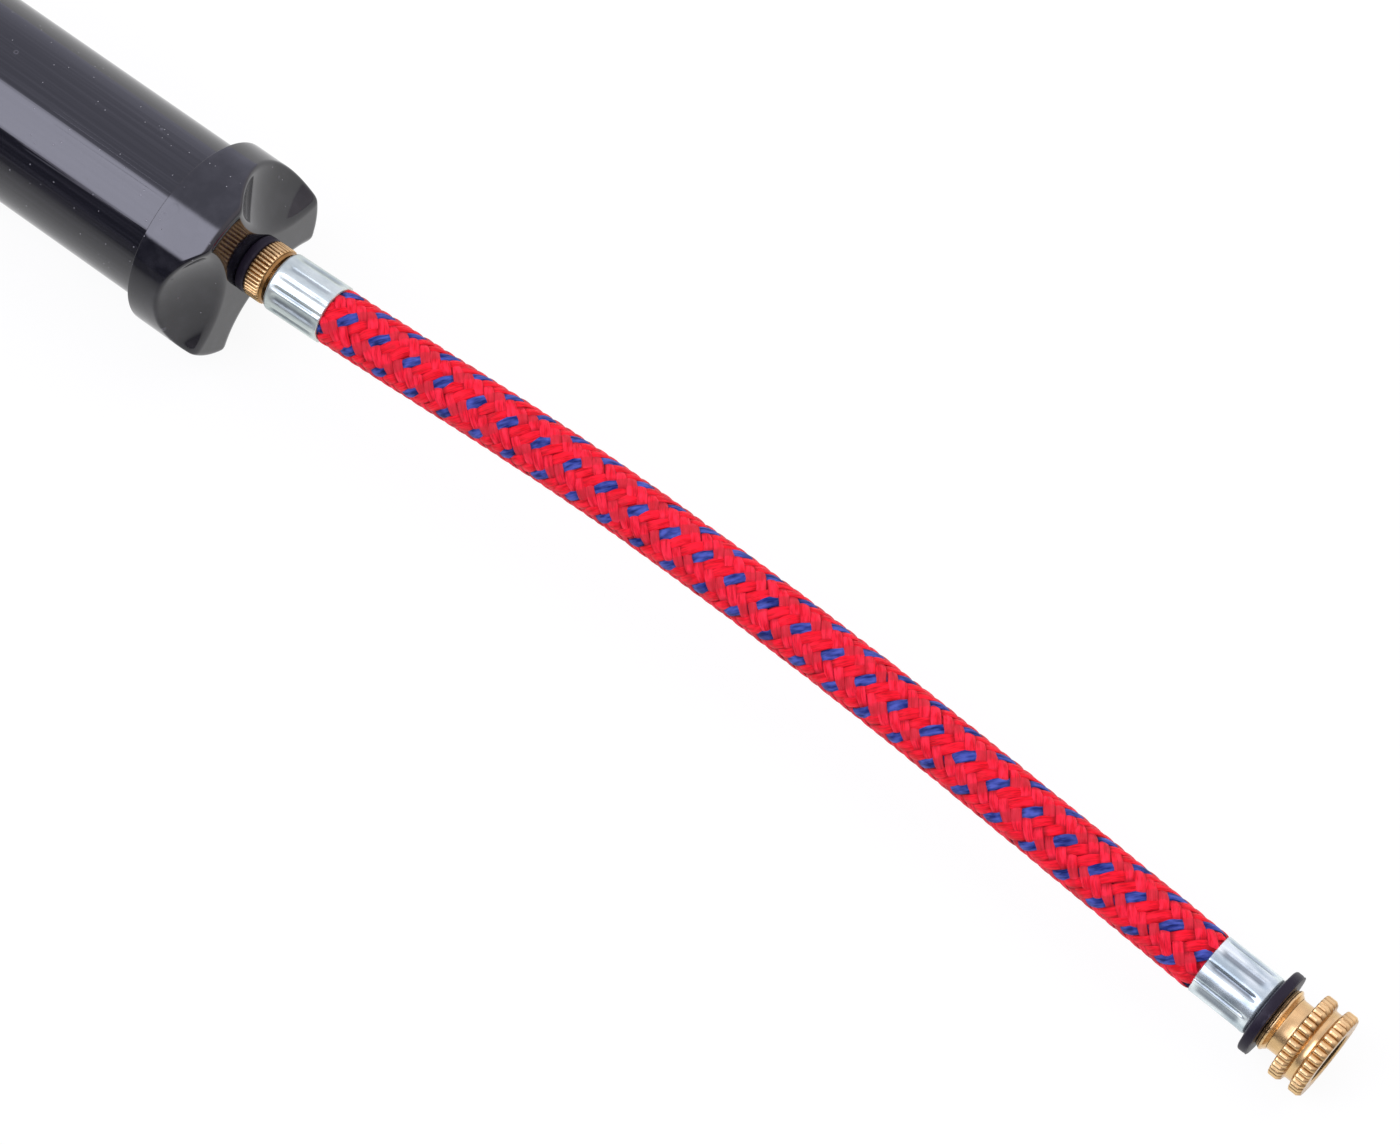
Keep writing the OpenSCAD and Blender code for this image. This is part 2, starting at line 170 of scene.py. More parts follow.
def ring_profile(start, end, outer, inner, corner):
    """A ring's closed profile with rounded outer corners."""
    return (
        [(start, inner)]
        + arc((start + corner, outer - corner), corner, 180, 90)
        + arc((end - corner, outer - corner), corner, 90, 0)
        + [(end, inner), (start, inner)]
    )


def wobble(angle, x, scale, seed=0.0):
    """A smooth uneven value, inside -1 to 1, that repeats round the circle."""
    # (waves round the circle, phase, how fast it changes along X)
    waves = [(2, 0.7, 0.3), (3, 1.9, 1.7), (5, 0.4, 4.1), (8, 2.3, 0.9), (13, 3.1, 2.2)]
    total = sum(
        np.sin(n * angle + phase + seed * (n + 1) + turn * x * scale) / (1 + 0.25 * n)
        for n, phase, turn in waves
    )
    return total / 3


# ---------- materials ----------


def add(tree, kind, inputs=None, **settings):
    """Adds a shader node with its settings, and values or links for its inputs."""
    made = tree.nodes.new("ShaderNode" + kind)
    for key, value in settings.items():
        setattr(made, key, value)
    for key, value in (inputs or {}).items():
        if isinstance(value, bpy.types.NodeSocket):
            tree.links.new(value, made.inputs[key])
        else:
            made.inputs[key].default_value = value
    return made


def new_material(name, **sockets):
    """A material with one principled shader. Returns the material, its tree and the shader."""
    made = bpy.data.materials.new(name)
    made.use_nodes = True
    tree = made.node_tree
    shader = tree.nodes["Principled BSDF"]
    for key, value in sockets.items():
        shader.inputs[key.replace("_", " ")].default_value = value
    return made, tree, shader


def coordinates(tree, scale=(1, 1, 1), source="Object"):
    """Texture coordinates, stretched by a scale for each axis."""
    where = add(tree, "TexCoord").outputs[source]
    return add(tree, "Mapping", {"Vector": where, "Scale": scale}).outputs["Vector"]


def noise(tree, scale, detail=3.0, stretch=(1, 1, 1), source="Object"):
    """A noise value from 0 to 1."""
    inputs = {"Vector": coordinates(tree, stretch, source), "Scale": scale, "Detail": detail}
    return add(tree, "TexNoise", inputs).outputs["Fac"]


def remap(tree, value, low, high, to_low=0.0, to_high=1.0):
    """A value stretched from one range to another and held inside it."""
    inputs = {"Value": value, "From Min": low, "From Max": high, "To Min": to_low, "To Max": to_high}
    return add(tree, "MapRange", inputs).outputs["Result"]


def connect(tree, socket, value):
    """Links a socket to another one, or gives it a number or a colour."""
    if isinstance(value, bpy.types.NodeSocket):
        tree.links.new(value, socket)
    else:
        socket.default_value = (*value, 1) if isinstance(value, tuple) else value


def blend_colour(tree, factor, first, second):
    """A mix of two colours by a factor."""
    made = add(tree, "Mix", {"Factor": factor}, data_type="RGBA")
    colours = [socket for socket in made.inputs if socket.type == "RGBA"]
    connect(tree, colours[0], first)
    connect(tree, colours[1], second)
    return made.outputs[2]


def multiply(tree, first, second):
    """The product of two values."""
    made = add(tree, "Math", operation="MULTIPLY")
    connect(tree, made.inputs[0], first)
    connect(tree, made.inputs[1], second)
    return made.outputs["Value"]


def bumps(tree, shader, *layers):
    """Chains bump layers of (height, strength, distance) onto a shader."""
    normal = None
    for height, strength, distance in layers:
        inputs = {"Height": height, "Strength": strength, "Distance": distance}
        if normal:
            inputs["Normal"] = normal
        normal = add(tree, "Bump", inputs).outputs["Normal"]
    tree.links.new(normal, shader.inputs["Normal"])


def ramp(tree, value, stops):
    """A strength by value, from stops of (position, strength), which may be brighter than white."""
    peak = max(strength for _, strength in stops)
    made = add(tree, "ValToRGB", {"Fac": value})
    elements = made.color_ramp.elements
    while len(elements) < len(stops):
        elements.new(1.0)
    for element, (position, strength) in zip(elements, stops):
        element.position = position
        element.color = (*[strength / peak] * 3, 1)
    return multiply(tree, made.outputs["Color"], peak)


def specks(tree, spacing, size, share):
    """1 inside small scattered dots, 0 elsewhere."""
    cells = add(tree, "TexVoronoi", {"Vector": coordinates(tree), "Scale": 1 / spacing})
    near = remap(tree, cells.outputs["Distance"], size / spacing, 0.6 * size / spacing)
    parts = add(tree, "SeparateColor", {"Color": cells.outputs["Color"]})
    chosen = remap(tree, parts.outputs["Red"], share + 0.01, share)
    return multiply(tree, near, chosen)


def moulding_rings(tree):
    """1 on small scattered rings, 0 elsewhere."""
    spacing, outer_r, inner_r, share = 3 * MM, 0.45 * MM, 0.28 * MM, 0.1
    discs = specks(tree, spacing, outer_r, share)
    holes = specks(tree, spacing, inner_r, share)
    return add(tree, "Math", {0: discs, 1: holes}, operation="SUBTRACT", use_clamp=True).outputs[0]


def black_plastic(name, along, rough, colour):
    """Glossy black moulding with fine scratches, moulding marks and dust."""
    made, tree, shader = new_material(name, IOR=1.65, Roughness=rough)
    dust = specks(tree, 0.9 * MM, 0.11 * MM, 0.22)
    rings = moulding_rings(tree)
    tone = blend_colour(tree, dust, colour, (0.2, 0.2, 0.21))
    tone = blend_colour(tree, multiply(tree, rings, 0.4), tone, (0.12, 0.12, 0.14))
    fine = noise(tree, 1.0, 3, along)
    tone = blend_colour(tree, remap(tree, fine, 0.45, 0.7, 0.0, 0.05), tone, (0.2, 0.2, 0.22))
    tree.links.new(tone, shader.inputs["Base Color"])
    marks = noise(tree, 1.0, 1, tuple(0.35 * s for s in along))
    line = multiply(tree, remap(tree, marks, 0.485, 0.5), remap(tree, marks, 0.515, 0.5))
    patches = remap(tree, noise(tree, 60, 2), 0.45, 0.62)
    scratch = multiply(tree, line, patches)
    haze = remap(tree, noise(tree, 140, 3), 0.35, 0.75, rough, rough * 1.9)
    gloss = add(tree, "Math", {0: haze, 1: multiply(tree, scratch, 0.16)}, operation="ADD")
    tree.links.new(gloss.outputs["Value"], shader.inputs["Roughness"])
    bumps(
        tree, shader,
        (fine, 0.2, 0.03 * MM), (noise(tree, 900, 2), 0.05, 0.01 * MM),
        (scratch, 0.3, 0.01 * MM), (dust, 0.5, 0.05 * MM), (rings, 0.6, 0.06 * MM),
    )
    return made


def rubber(name):
    """Matte black rubber with a fine moulded grain and pale dust."""
    made, tree, shader = new_material(name, Roughness=0.42, IOR=1.3)
    dust = remap(tree, noise(tree, 700, 4), 0.58, 0.8, 0, 0.35)
    tone = blend_colour(tree, dust, (0.012, 0.009, 0.018), (0.05, 0.04, 0.06))
    tree.links.new(tone, shader.inputs["Base Color"])
    bumps(tree, shader, (noise(tree, 2500, 3), 0.25, 0.05 * MM), (noise(tree, 350, 2), 0.2, 0.1 * MM))
    return made


def brass(name, clean, tarnished):
    """Turned brass, pale on its high spots and browner where it is stained."""
    made, tree, shader = new_material(name, Metallic=0.92, Roughness=0.26)
    patches = remap(tree, noise(tree, 420, 4), 0.42, 0.75, 0.0, 0.4)
    stained = add(tree, "Attribute", attribute_name="stained").outputs["Fac"]
    total = add(tree, "Math", {0: patches, 1: stained}, use_clamp=True).outputs[0]
    tree.links.new(blend_colour(tree, total, clean, tarnished), shader.inputs["Base Color"])
    rough = remap(tree, noise(tree, 1200, 3), 0.3, 0.7, 0.18, 0.34)
    tree.links.new(rough, shader.inputs["Roughness"])
    tool_marks = noise(tree, 1.0, 2, (9000, 700, 700))
    bumps(tree, shader, (tool_marks, 0.12, 0.03 * MM), (noise(tree, 1500, 3), 0.15, 0.04 * MM))
    return made


def zinc(name, pale, blue, rough):
    """Bright zinc plating with drawing marks, soft blue clouds and dark grooves."""
    made, tree, shader = new_material(name, Metallic=0.75, Roughness=0.25)
    clouds = remap(tree, noise(tree, 1.0, 3, (220, 500, 500)), 0.35, 0.68)
    tone = blend_colour(tree, clouds, pale, blue)
    stained = add(tree, "Attribute", attribute_name="stained").outputs["Fac"]
    tone = blend_colour(tree, multiply(tree, stained, 0.75), tone, (0.13, 0.16, 0.19))
    tree.links.new(tone, shader.inputs["Base Color"])
    gloss = remap(tree, noise(tree, 500, 3), 0.3, 0.7, rough, 1.6 * rough)
    tree.links.new(gloss, shader.inputs["Roughness"])
    drawn = noise(tree, 1.0, 2, (250, 2400, 2400))
    bumps(tree, shader, (drawn, 0.08, 0.04 * MM), (noise(tree, 500, 2), 0.08, 0.06 * MM))
    return made


def steel(name):
    """Drawn steel with fine turning marks."""
    made, tree, shader = new_material(name, Metallic=1.0, Roughness=0.22)
    tone = blend_colour(tree, noise(tree, 150, 3), (0.68, 0.69, 0.71), (0.52, 0.53, 0.56))
    tree.links.new(tone, shader.inputs["Base Color"])
    drawn = noise(tree, 1.0, 3, (60, 4000, 4000))
    bumps(tree, shader, (drawn, 0.1, 0.03 * MM))
    return made


def yarn(name, sheen_and_bundle_tone, colour, shade, dull):
    """Silky bundles of fine filaments along the strand, duller where a blue yarn lies under; lighter
    bundles are random tone and painted sheen, and crevices get painted shade.
    """
    made, tree, shader = new_material(name, Roughness=0.5, IOR=1.19, Sheen_Weight=0.02)
    filaments = noise(tree, 1.0, 3, (0.3, 16, 1), "UV")
    bundles = remap(tree, noise(tree, 1.0, 2, (0.45, 2.5, 1), "UV"), 0.36, 0.66)
    # Filament lines and lighter bundles: random tone, and partly painted sheen of the filaments
    tone = blend_colour(tree, remap(tree, filaments, 0.36, 0.6), shade, colour)
    tone = blend_colour(tree, multiply(tree, bundles, 0.8), tone, sheen_and_bundle_tone)
    grimy = remap(tree, noise(tree, 330, 3), 0.58, 0.74, 0.0, 0.6)
    over_blue = add(tree, "Attribute", attribute_name="dulled").outputs["Fac"]
    dullness = add(tree, "Math", {0: grimy, 1: over_blue}, operation="MAXIMUM").outputs[0]
    tone = blend_colour(tree, dullness, tone, dull)
    # Painted shade: darker at the yarn's edges and where it dips under the crossing yarns
    sunk = add(tree, "Attribute", attribute_name="sunk").outputs["Fac"]
    tone = blend_colour(tree, multiply(tree, sunk, 0.8), tone, tuple(0.4 * c for c in shade))
    tree.links.new(tone, shader.inputs["Base Color"])
    bumps(tree, shader, (filaments, 0.5, 0.08 * MM), (bundles, 0.25, 0.05 * MM))
    return made


def plain_soft(name, first, second, scale, rough):
    """A soft or waxy stuff in two tones with a grain, such as nylon, leather or felt."""
    made, tree, shader = new_material(name, Roughness=rough)
    tone = blend_colour(tree, noise(tree, scale, 4), first, second)
    tree.links.new(tone, shader.inputs["Base Color"])
    bumps(tree, shader, (noise(tree, scale * 3, 3), 0.3, 0.08 * MM))
    return made


def white_floor():
    """A white floor with the object's faint shadow.

    What mirrors see of it is white beyond the barrel, and darker towards -Y.
    """
    made, tree, shader = new_material("white_floor", Base_Color=(0.9, 0.9, 0.9, 1), Roughness=0.9)
    paths = add(tree, "LightPath").outputs
    place = add(tree, "SeparateXYZ", {"Vector": add(tree, "TexCoord").outputs["Object"]})
    shade = remap(tree, place.outputs["Y"], -0.15, 0.0, 0.1, 1.0)
    seen = add(tree, "Math", {0: paths["Is Camera Ray"], 1: paths["Is Glossy Ray"]})
    through = paths["Is Transmission Ray"]
    seen = add(tree, "Math", {0: seen.outputs[0], 1: through}, use_clamp=True)
    strength = add(tree, "Math", {0: paths["Is Camera Ray"], 1: shade}, operation="MAXIMUM")
    glow = add(tree, "Emission", {"Color": (1, 1, 1, 1), "Strength": strength.outputs[0]})
    glowing_share = 0.93
    mixed = add(tree, "MixShader", {"Fac": multiply(tree, seen.outputs[0], glowing_share)})
    tree.links.new(shader.outputs[0], mixed.inputs[1])
    tree.links.new(glow.outputs[0], mixed.inputs[2])
    tree.links.new(mixed.outputs[0], tree.nodes["Material Output"].inputs["Surface"])
    return made


LENGTHWISE = (25, 2600, 2600)
MATERIALS = {
    "barrel_plastic": black_plastic("barrel_plastic", LENGTHWISE, 0.015, (0.004, 0.004, 0.007)),
    "cap_plastic": black_plastic("cap_plastic", (400, 400, 400), 0.06, (0.004, 0.004, 0.007)),
    "rubber": rubber("rubber"),
    "brass": brass("brass", (0.92, 0.64, 0.32), (0.34, 0.18, 0.06)),
    "zinc_plate": zinc("zinc_plate", (0.70, 0.77, 0.71), (0.46, 0.54, 0.52), 0.27),
    "steel": steel("steel"),
    "nylon": plain_soft("nylon", (0.8, 0.77, 0.68), (0.72, 0.69, 0.6), 300, 0.35),
    "leather": plain_soft("leather", (0.2, 0.1, 0.05), (0.12, 0.06, 0.03), 600, 0.55),
    "felt": plain_soft("felt", (0.35, 0.32, 0.27), (0.25, 0.22, 0.18), 1500, 0.9),
    "braid": yarn(
        "braid", (0.94, 0.01, 0.032), (0.76, 0.002, 0.013), (0.34, 0.001, 0.006), (0.4, 0.014, 0.023)
    ),
}
# A lighter, pinker copy of the braid's red for one family of yarns: painted sheen, for the light along
# their filaments
SHEEN_LIT_RED = yarn(
    "braid_sheen_lit_red", (0.96, 0.025, 0.06), (0.8, 0.006, 0.022), (0.38, 0.002, 0.01), (0.42, 0.02, 0.03)
)
BLUE = yarn(
    "braid_blue", (0.08, 0.11, 0.45), (0.008, 0.02, 0.17), (0.002, 0.005, 0.05), (0.012, 0.016, 0.08)
)
# A second copy of the plating for the far ferrule, paler and glossier with a deeper blue, its tones set to
# the light there while the near ferrule's plating is the darker copy: painted light
FAR_FERRULE_LIT_ZINC = zinc("far_ferrule_lit_zinc", (0.82, 0.91, 0.90), (0.42, 0.52, 0.55), 0.18)
# Near-black brass for the inside of the nut's bore and threads: painted shade
BORE_SHADE_BRASS = brass("bore_shade_brass", (0.13, 0.085, 0.035), (0.05, 0.035, 0.012))
FLOOR = white_floor()


def finish_piece(piece, body, slot, *nodes):
    """Gives a piece its material and slot, and lets it stand for CAD nodes on their body."""
    if not piece.data.materials:
        piece.data.materials.append(MATERIALS[slot])
    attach(piece, body)
    if nodes:
        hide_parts(*nodes)
    return piece


# ---------- barrel and caps ----------


def make_barrel():
    """The black tube, very slightly uneven as drawn plastic is."""
    length = BARREL_HIGH.x - BARREL_LOW.x
    bore = BARREL_R - BARREL_WALL
    rings = 40
    profile = [(0, bore), (0, BARREL_R)]
    profile += [(length * i / rings, BARREL_R) for i in range(1, rings)]
    profile += [(length, BARREL_R), (length, bore), (0, bore)]

    def drawn(x, r, angle):
        outer = r > bore + 0.1 * MM
        return x, r - np.where(outer, 0.006 * MM * (1 + wobble(angle, x, 30)), 0)

    place = along_x((BARREL_LOW.x, 0, AXIS_Z))
    made = lathe("barrel_tube", profile, place, 256, drawn)
    return finish_piece(made, "barrel", "barrel_plastic", "barrel")


# Each scoop is cut by a ball whose centre is in front of the cap's face
SCOOP_CENTRE = 19.2 * MM
SCOOP_REACH = 13.4 * MM
SCOOP_DEPTH = 5.1 * MM
SCOOP_BALL = (SCOOP_REACH**2 + SCOOP_DEPTH**2) / (2 * SCOOP_DEPTH)
CAP_EDGE = 0.12 * MM


def smooth_max(a, b, width):
    """The larger of two distances, with a rounded crossover of a given width."""
    h = np.clip(0.5 + 0.5 * (a - b) / width, 0, 1)
    return b + (a - b) * h + width * h * (1 - h)


def cap_distance(points, turns):
    """How far points are outside a scooped cap whose face is at x = 0, about."""
    x, y, z = points[..., 0], points[..., 1], points[..., 2]
    side = np.hypot(y, z) - CAP_R
    centre_x = SCOOP_BALL - SCOOP_DEPTH
    scoop = np.full(x.shape, -1.0)
    for turn in turns:
        cy, cz = SCOOP_CENTRE * math.cos(turn), SCOOP_CENTRE * math.sin(turn)
        ball = SCOOP_BALL - np.sqrt((x - centre_x) ** 2 + (y - cy) ** 2 + (z - cz) ** 2)
        scoop = np.maximum(scoop, ball)
    rim = smooth_max(side, x, 0.9 * MM)
    return smooth_max(rim, scoop, 0.55 * MM)


def scooped_cap(name, length, turns, hole, hole_r, place):
    """A cap with three scoops, drawn along +X with its face at x = 0 and a hole in it."""
    segments = 420
    # The front is found along rays from a point behind the face, by halving their length
    depth = 7 * MM
    tilt = np.linspace(math.atan(hole_r / depth), math.pi / 2, 150)
    angle = np.linspace(0, 2 * math.pi, segments, endpoint=False)
    tilt, angle = np.meshgrid(tilt, angle, indexing="ij")
    ways = np.stack([np.cos(tilt), np.sin(tilt) * np.cos(angle), np.sin(tilt) * np.sin(angle)], -1)
    origin = np.array([-depth, *hole])
    low, high = np.full(tilt.shape, 1 * MM), np.full(tilt.shape, 30 * MM)
    for _ in range(40):
        middle = (low + high) / 2
        outside = cap_distance(origin + ways * middle[..., None], turns) > 0
        high = np.where(outside, middle, high)
        low = np.where(outside, low, middle)
    front = origin + ways * high[..., None]
    inner = BARREL_R + 0.03 * MM
    profile = [(-depth - (length - depth - CAP_EDGE) * i / 4, CAP_R) for i in range(1, 4)]
    profile += arc((-length + CAP_EDGE, CAP_R - CAP_EDGE), CAP_EDGE, 90, 180)
    profile += [(-length, inner), (-length + 3 * MM, inner)]
    # The side and the collar carry on from the front's last ring, at the same angles
    across = np.arctan2(front[-1, :, 2], front[-1, :, 1])
    back = np.array([
        np.stack([np.full(segments, x), r * np.cos(across), r * np.sin(across)], -1)
        for x, r in profile
    ])
    bore = np.array([
        np.stack([
            np.full(segments, x), hole[0] + hole_r * np.cos(angle[0]),
            hole[1] + hole_r * np.sin(angle[0]),
        ], -1)
        for x in (-3 * MM, -0.01 * MM)
    ])
    rings = np.concatenate([bore, front, back])
    points = placed(rings.reshape(-1, 3), place)
    return mesh_object(name, points, grid_faces(len(rings), segments), smooth_angle=60)


def make_caps():
    """The outlet cap and the guide cap, which share their form."""
    outlet_turns = [math.radians(a) for a in (46, 166, 286)]
    guide_turns = [math.radians(a) for a in (106, 226, 346)]
    outlet = scooped_cap(
        "outlet_cap_moulding", CAP_HIGH.x - CAP_LOW.x, outlet_turns, STEM_SHIFT.yz, STEM_HOLE_R,
        along_x((CAP_HIGH.x, 0, AXIS_Z)),
    )
    guide = scooped_cap(
        "guide_cap_moulding", GUIDE_HIGH.x - GUIDE_LOW.x, guide_turns, (0, 0), ROD_HOLE_R,
        along_x((GUIDE_LOW.x, 0, AXIS_Z), math.pi),
    )
    finish_piece(outlet, "barrel", "cap_plastic", "outlet_cap")
    finish_piece(guide, "barrel", "cap_plastic", "guide_cap")


# ---------- fittings on the hose ----------


def knurl(count, depth, start, end, fade):
    """A shape for straight knurls between two places along X."""

    def cut(x, r, angle):
        wave = 0.5 + 0.5 * np.cos(count * angle)
        valley = 1 - wave**0.55
        inside = np.clip((x - start) / fade, 0, 1) * np.clip((end - x) / fade, 0, 1)
        uneven = 1 + 0.12 * wobble(angle, x, 400, 1.0)
        return x, r - depth * valley * inside * uneven * (r > 0.8 * r.max())

    return cut


STEM_FLANGE = 2.5 * MM
STEM_BEVEL = 0.65 * MM
STEM_GAP = 0.35 * MM
# Crimped grooves: (angle in degrees from +Y to +Z, half width in degrees, depth in mm)
NEAR_GROOVES = [
    (5, 9, 0.26), (50, 7, 0.2), (86, 5, 0.18), (109, 4, 0.16), (133, 4, 0.2), (152, 8, 0.26),
    (182, 5, 0.26), (225, 9, 0.26), (262, 9, 0.26), (300, 9, 0.26), (335, 9, 0.26),
]
FAR_GROOVES = [
    (10, 9, 0.3), (49, 4, 0.2), (82, 7, 0.32), (114, 5.5, 0.34), (151, 3, 0.2), (169, 10, 0.36),
    (205, 7, 0.3), (245, 8, 0.3), (285, 8, 0.3), (325, 8, 0.3),
]


def make_stem():
    """The brass stem: its neck in the cap, its finely knurled flange and a plain bevel."""
    start = WASHER_HIGH.x
    end = start + STEM_FLANGE
    outer = 4.35 * MM
    profile = [(CAP_HIGH.x - 5 * MM, 1.2 * MM), (CAP_HIGH.x - 5 * MM, 3 * MM), (start, 3 * MM)]
    profile += [(start, outer - 0.25 * MM), (start + 0.15 * MM, outer - 0.05 * MM)]
    profile += [(start + 0.25 * MM + 2 * MM * i / 8, outer) for i in range(9)]
    profile += [(end + 0.12 * MM, outer - 0.02 * MM), (end + 0.2 * MM, outer - 0.14 * MM)]
    profile += [(end + 0.24 * MM, outer - 0.3 * MM), (end + STEM_BEVEL, outer - 0.42 * MM)]
    profile += [(end + STEM_BEVEL, SHANK_R)]

    def stain(x, r):
        valley = np.interp(r, [outer - 0.26 * MM, outer - 0.12 * MM, outer - 0.02 * MM], [1, 0.7, 0])
        return np.where(x > end + 0.22 * MM, 1.0, valley)

    teeth = 42
    made = lathe(
        "knurled_stem", profile, STEM_PLACE, teeth * 12,
        knurl(teeth, 0.27 * MM, start - 0.1 * MM, end + 0.22 * MM, 0.15 * MM), 50, stain,
    )
    return finish_piece(made, "barrel", "brass", "hose_stem")


def make_washers():
    """The two rubber washers: a thick one under the stem's flange, and the wide thin one."""
    near = lathe(
        "cap_washer", ring_profile(WASHER_LOW.x, WASHER_HIGH.x, 4.36 * MM, STEM_HOLE_R, 0.35 * MM),
        STEM_PLACE, 128,
        lambda x, r, a: (x, r + 0.03 * MM * wobble(a, x, 300, 2.0) * (r > 4 * MM)),
    )
    finish_piece(near, "barrel", "rubber", "stem_washer")

    start, end, rim = FERRULE_LEN + 0.02 * MM, FERRULE_LEN + 1.88 * MM, 6.3 * MM
    profile = [(start, SHANK_R), (start + 0.05 * MM, 4.5 * MM), (start + 0.2 * MM, 5 * MM)]
    profile += arc((start + 0.7 * MM, rim - 0.35 * MM), 0.35 * MM, 165, 90)
    profile += [(end - 0.5 * MM, rim), (end - 0.25 * MM, rim - 0.02 * MM)]
    profile += [(end - 0.1 * MM, rim + 0.06 * MM), (end - 0.05 * MM, rim), (end - 0.04 * MM, 5 * MM)]
    profile += [(end, SHANK_R), (start, SHANK_R)]

    def flash(x, r, angle):
        lip = np.clip((r - 5 * MM) / (1.3 * MM), 0, 1) * (x > end - 0.3 * MM)
        sag = np.clip((r - 5 * MM) / (1.3 * MM), 0, 1) * wobble(angle, 0, 1, 0.6)
        return x - 0.05 * MM * (1 + sag), r - 0.05 * MM * lip * (1 + wobble(3 * angle, x, 200, 3.0))

    far = lathe("wide_washer", profile, END_PLACE, 200, flash)
    return near, finish_piece(far, "barrel", "rubber", "valve_washer")


def make_ferrule(name, place, node, grooves):
    """A ferrule, open at x = 0, with crimped grooves."""
    length = FERRULE_LEN
    mouth_r = FERRULE_R - FERRULE_WALL
    shoulder = 0.5 * MM
    profile = [(0.6 * MM, mouth_r), (0, mouth_r), (0, FERRULE_R - 0.12 * MM), (0.1 * MM, FERRULE_R)]
    straight = length - shoulder - 0.1 * MM
    profile += [(0.1 * MM + straight * i / 30, FERRULE_R) for i in range(1, 31)]
    profile += arc((length - shoulder, FERRULE_R - shoulder), shoulder, 84, 0, 8)
    profile += [(length, SHANK_R), (length - 0.5 * MM, SHANK_R)]

    def crimped(x, r, angle):
        dent = np.zeros_like(r)
        for turn, half, depth in grooves:
            off = (np.degrees(angle) - turn + 180) % 360 - 180
            dent += depth * MM * np.exp(-np.abs(off / half) ** 2.5)
        # The grooves fade out at the shoulder and get shallower at the mouth
        run = np.clip((length - 0.7 * MM - x) / (1.2 * MM), 0, 1)
        run = run * run * (3 - 2 * run) * (0.55 + 0.45 * np.clip(x / (1.5 * MM), 0, 1))
        dent = dent * run + 0.008 * MM * (1 + wobble(angle, x, 150, len(grooves)))
        outside = np.clip((r - 3.9 * MM) / (0.3 * MM), 0, 1)
        return x, r - outside * dent

    def stain(x, r):
        inside = np.clip(x / MM - 0.3, 0, 1) * np.clip((length - x) / MM - 1, 0, 1)
        return inside * np.clip((FERRULE_R - 0.03 * MM - r) / (0.28 * MM), 0, 1)

    made = lathe(name, profile, place, 720, crimped, 50, stain)
    return finish_piece(made, "barrel", "zinc_plate", node)


def make_nipple_collar():
    """The small brass collar, whose lip is rolled and rough."""
    start, end = 11.12 * MM, 12.5 * MM
    r = 4.8 * MM
    profile = [(start, SHANK_R), (start, 4.4 * MM), (start + 0.3 * MM, 4.55 * MM)]
    profile += arc((start + 0.65 * MM, r - 0.3 * MM), 0.3 * MM, 170, 20, 8)
    profile += [(start + 1.05 * MM, 4.4 * MM), (end, 4.15 * MM), (end, SHANK_R)]

    def rough(x, rr, angle):
        lip = np.clip((rr - 4.3 * MM) / (0.4 * MM), 0, 1)
        bite = wobble(3 * angle, x, 900, 5.0)
        return x + 0.12 * MM * lip * wobble(angle, x, 100, 4.0), rr - 0.1 * MM * lip * (1 + bite)

    made = lathe("rolled_collar", profile, END_PLACE, 240, rough, 50, lambda x, r: 0.1 + 0 * r)
    return finish_piece(made, "barrel", "brass", "nipple_collar")


